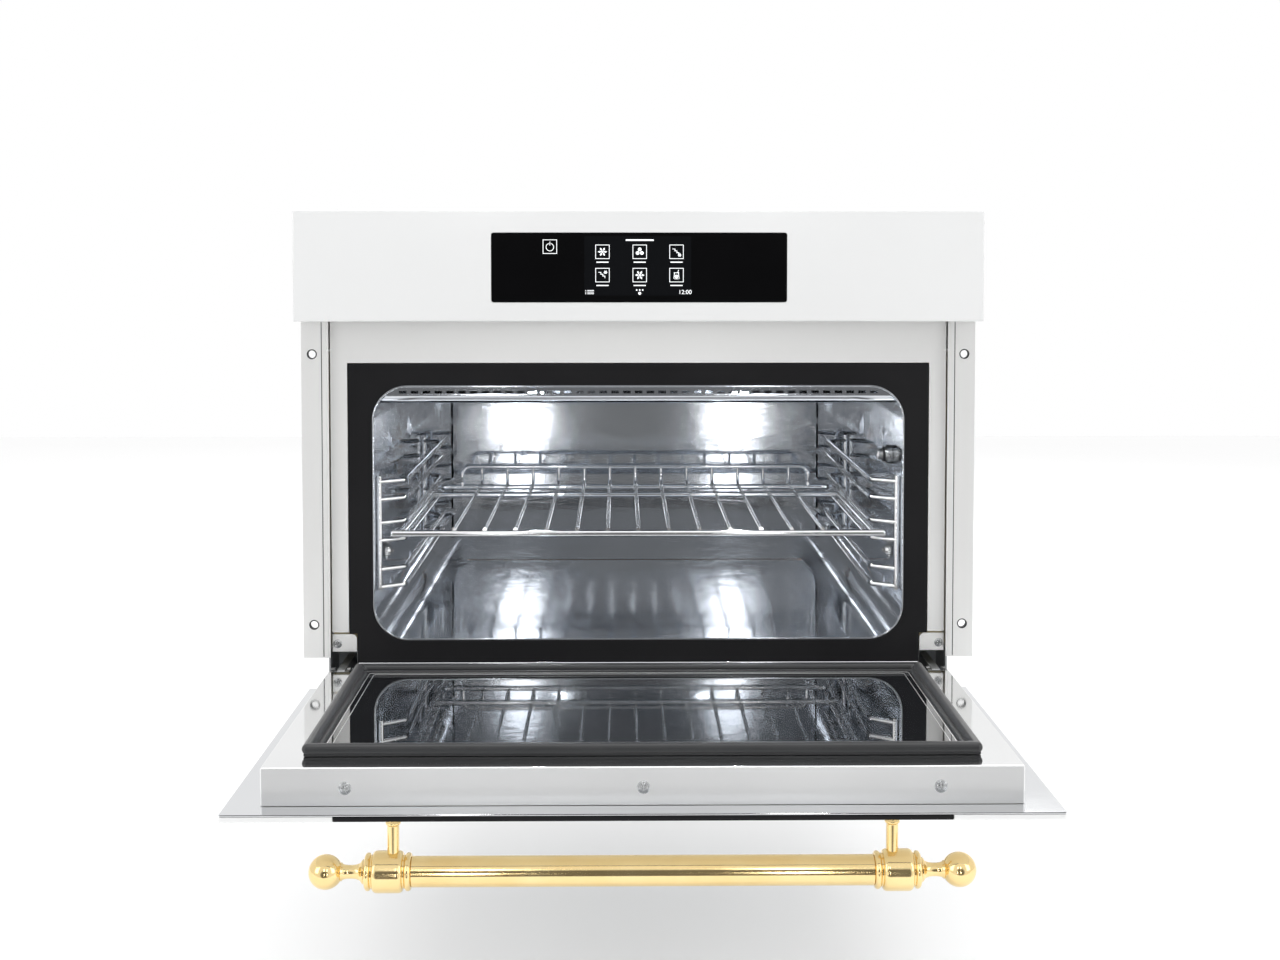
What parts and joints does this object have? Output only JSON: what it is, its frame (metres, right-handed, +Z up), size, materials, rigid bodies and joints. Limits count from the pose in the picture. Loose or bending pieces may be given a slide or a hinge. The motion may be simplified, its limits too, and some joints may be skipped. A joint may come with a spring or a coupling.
{
  "type": "wall-oven-format blast chiller",
  "caption": "Built-in appliance in wall oven form: drop-down door with bar handle, gasketed polished cavity with wire rack and guides, control fascia above, cooling machinery inside.",
  "frame": {"origin": "middle of the base pan underside, which rests on the niche shelf", "axes": "+Z up, +X to the right seen from the front, the front looks along -Y; the door is stored open"},
  "size_m": [0.595, 0.8589, 0.501],
  "materials": {
    "white_enamel": "gloss white enamel",
    "polished_steel": "mirror polished stainless steel",
    "brushed_steel": "fine brushed stainless steel",
    "galvanised": "spangled galvanised sheet",
    "black_plastic": "fine textured black moulding",
    "black_glass": "gloss black glass",
    "gasket_rubber": "soft dark grey rubber",
    "brass": "polished brass",
    "wire_chrome": "bright chromed wire",
    "foam": "rigid polyurethane foam",
    "circuit_board": "green circuit board",
    "copper": "drawn copper and aluminium fins",
    "motor_black": "black stove enamel",
    "lamp_lens": "frosted white lens"
  },
  "bodies": {
    "chassis": {"base_pan": "galvanised", "side_panel_left": "galvanised", "side_panel_right": "galvanised", "top_cover": "galvanised", "back_panel": "galvanised", "machine_deck": "galvanised", "hinge_housing_left": "galvanised", "hinge_housing_right": "galvanised", "front_panel": "brushed_steel", "hinge_plate_left": "brushed_steel", "hinge_plate_right": "brushed_steel", "probe_socket": "brushed_steel", "side_channel_left": "polished_steel", "side_channel_right": "polished_steel", "bottom_trim": "polished_steel", "cavity_liner": "polished_steel", "evaporator_cover": "polished_steel", "ceiling_duct": "polished_steel", "breaker_frame": "black_plastic", "power_inlet": "black_plastic", "drip_tray": "black_plastic", "insulation_jacket": "foam", "evaporator_coil": "copper", "condenser": "copper", "discharge_pipe": "copper", "compressor": "motor_black", "condenser_fan_motor": "motor_black", "evaporator_fan_motor": "motor_black", "lamp_lens_left": "lamp_lens", "lamp_lens_right": "lamp_lens", "rack_guide_left": "wire_chrome", "rack_guide_right": "wire_chrome", "fascia": "white_enamel", "control_glass": "black_glass", "control_board": "circuit_board", "power_board": "circuit_board"},
    "door": {"door_outer_panel": "white_enamel", "door_edge_strip": "black_plastic", "door_skin": "polished_steel", "door_inner_box": "polished_steel", "door_insulation": "foam", "door_gasket": "gasket_rubber", "door_inner_glass": "black_glass", "hinge_arm_left": "brushed_steel", "hinge_arm_right": "brushed_steel", "door_screw_left": "brushed_steel", "door_screw_middle": "brushed_steel", "door_screw_right": "brushed_steel", "handle_tube": "brass", "handle_barrel_left": "brass", "handle_barrel_right": "brass", "handle_finial_left": "brass", "handle_finial_right": "brass", "handle_post_left": "brass", "handle_post_right": "brass"},
    "rack": {"wire_rack": "wire_chrome"},
    "evaporator_wheel": {"evaporator_fan": "black_plastic"},
    "condenser_wheel": {"condenser_fan": "black_plastic"},
    "left_nut": {"thumb_nut_left": "wire_chrome"},
    "right_nut": {"thumb_nut_right": "wire_chrome"}
  },
  "joints": [
    {"name": "door_hinge", "type": "hinge", "parent": "chassis", "child": "door", "pos_m": [0, -0.295, 0.044], "axis": [-1, 0, 0], "range_deg": [0, 90]},
    {"name": "rack_slide", "type": "slide", "parent": "chassis", "child": "rack", "axis": [0, 1, 0], "range_m": [-0.25, 0]},
    {"name": "evaporator_fan_spin", "type": "hinge", "parent": "chassis", "child": "evaporator_wheel", "pos_m": [0, 0.15, 0.25], "axis": [0, 1, 0], "continuous": true},
    {"name": "condenser_fan_spin", "type": "hinge", "parent": "chassis", "child": "condenser_wheel", "pos_m": [-0.177, -0.11, 0.388], "axis": [0, 1, 0], "continuous": true},
    {"name": "thumb_nut_left_turn", "type": "hinge", "parent": "chassis", "child": "left_nut", "pos_m": [-0.2287, -0.245, 0.148], "axis": [1, 0, 0], "continuous": true},
    {"name": "thumb_nut_right_turn", "type": "hinge", "parent": "chassis", "child": "right_nut", "pos_m": [0.2287, -0.245, 0.148], "axis": [1, 0, 0], "continuous": true}
  ]
}
